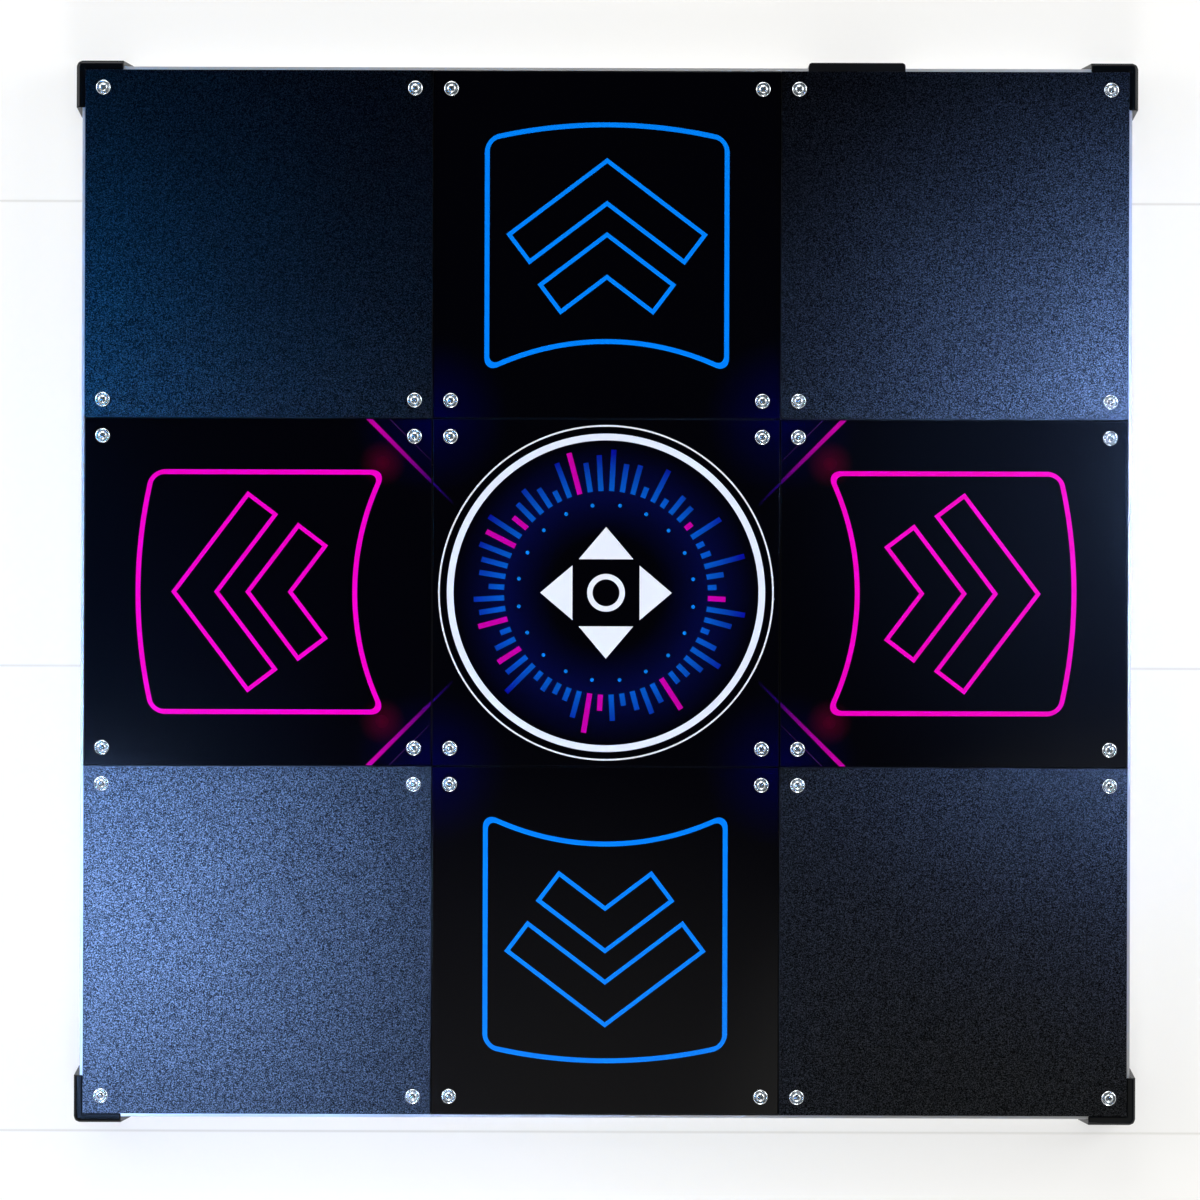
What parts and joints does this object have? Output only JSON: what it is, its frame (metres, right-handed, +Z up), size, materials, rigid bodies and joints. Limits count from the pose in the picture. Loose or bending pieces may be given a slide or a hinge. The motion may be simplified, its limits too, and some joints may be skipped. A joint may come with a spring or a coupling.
{
  "type": "dance mat controller",
  "caption": "Square hard dance mat: textured corner plates, pressable arrow panels on foam, aluminium edge rails, corner guards and a rear cable inlet.",
  "frame": {"origin": "on the floor, under the centre of the pad's square outline", "axes": "+Z up, +Y towards the rear edge that holds the cable inlet, +X towards the right-hand edge of a player facing the rear"},
  "size_m": [0.855, 0.855, 0.0363],
  "materials": {
    "board_wood": "plain sawn board",
    "packing_wood": "plain sawn board",
    "rail_aluminium": "satin anodised",
    "guard_plastic": "fine moulded",
    "plate_laminate": "pebbled non-slip film on board",
    "centre_print": "satin clear sheet over print",
    "blue_arrow_print": "satin clear sheet over print",
    "magenta_arrow_print": "satin clear sheet over print",
    "contact_metal": "plain sheet",
    "gasket_foam": "closed-cell foam",
    "screw_zinc": "bright zinc plate",
    "foot_rubber": "matt",
    "housing_plastic": "fine moulded",
    "circuit_laminate": "solder mask",
    "socket_metal": "tinned sheet",
    "lead_sleeve": "insulated twin lead"
  },
  "bodies": {
    "base": {"base_board": "board_wood", "centre_packing_board": "packing_wood", "centre_panel": "centre_print", "corner_plate_rear_right": "plate_laminate", "corner_plate_rear_left": "plate_laminate", "corner_plate_front_left": "plate_laminate", "corner_plate_front_right": "plate_laminate", "rail_front": "rail_aluminium", "rail_left": "rail_aluminium", "rail_right": "rail_aluminium", "rail_rear": "rail_aluminium", "guard_rear_right": "guard_plastic", "guard_rear_left": "guard_plastic", "guard_front_left": "guard_plastic", "guard_front_right": "guard_plastic", "foot_rear_right": "foot_rubber", "foot_rear_left": "foot_rubber", "foot_front_left": "foot_rubber", "foot_front_right": "foot_rubber", "foot_centre": "foot_rubber", "controller_housing": "housing_plastic", "housing_lid": "housing_plastic", "circuit_board": "circuit_laminate", "usb_socket": "socket_metal", "up_lower_contact": "contact_metal", "up_foam_gasket": "gasket_foam", "up_lead": "lead_sleeve", "up_screw_rear_right": "screw_zinc", "up_screw_rear_left": "screw_zinc", "up_screw_front_left": "screw_zinc", "up_screw_front_right": "screw_zinc", "left_lower_contact": "contact_metal", "left_foam_gasket": "gasket_foam", "left_lead": "lead_sleeve", "left_screw_rear_right": "screw_zinc", "left_screw_rear_left": "screw_zinc", "left_screw_front_left": "screw_zinc", "left_screw_front_right": "screw_zinc", "down_lower_contact": "contact_metal", "down_foam_gasket": "gasket_foam", "down_lead": "lead_sleeve", "down_screw_rear_right": "screw_zinc", "down_screw_rear_left": "screw_zinc", "down_screw_front_left": "screw_zinc", "down_screw_front_right": "screw_zinc", "right_lower_contact": "contact_metal", "right_foam_gasket": "gasket_foam", "right_lead": "lead_sleeve", "right_screw_rear_right": "screw_zinc", "right_screw_rear_left": "screw_zinc", "right_screw_front_left": "screw_zinc", "right_screw_front_right": "screw_zinc"},
    "up_pad": {"up_panel": "blue_arrow_print", "up_upper_contact": "contact_metal"},
    "left_pad": {"left_panel": "magenta_arrow_print", "left_upper_contact": "contact_metal"},
    "down_pad": {"down_panel": "blue_arrow_print", "down_upper_contact": "contact_metal"},
    "right_pad": {"right_panel": "magenta_arrow_print", "right_upper_contact": "contact_metal"}
  },
  "joints": [
    {"name": "up_press", "type": "slide", "parent": "base", "child": "up_pad", "axis": [0, 0, -1], "range_m": [0, 0.0015], "stiffness_N_per_m": 40000, "springref_m": -0.0008, "deforming": ["up_foam_gasket"]},
    {"name": "left_press", "type": "slide", "parent": "base", "child": "left_pad", "axis": [0, 0, -1], "range_m": [0, 0.0015], "stiffness_N_per_m": 40000, "springref_m": -0.0008, "deforming": ["left_foam_gasket"]},
    {"name": "down_press", "type": "slide", "parent": "base", "child": "down_pad", "axis": [0, 0, -1], "range_m": [0, 0.0015], "stiffness_N_per_m": 40000, "springref_m": -0.0008, "deforming": ["down_foam_gasket"]},
    {"name": "right_press", "type": "slide", "parent": "base", "child": "right_pad", "axis": [0, 0, -1], "range_m": [0, 0.0015], "stiffness_N_per_m": 40000, "springref_m": -0.0008, "deforming": ["right_foam_gasket"]}
  ]
}
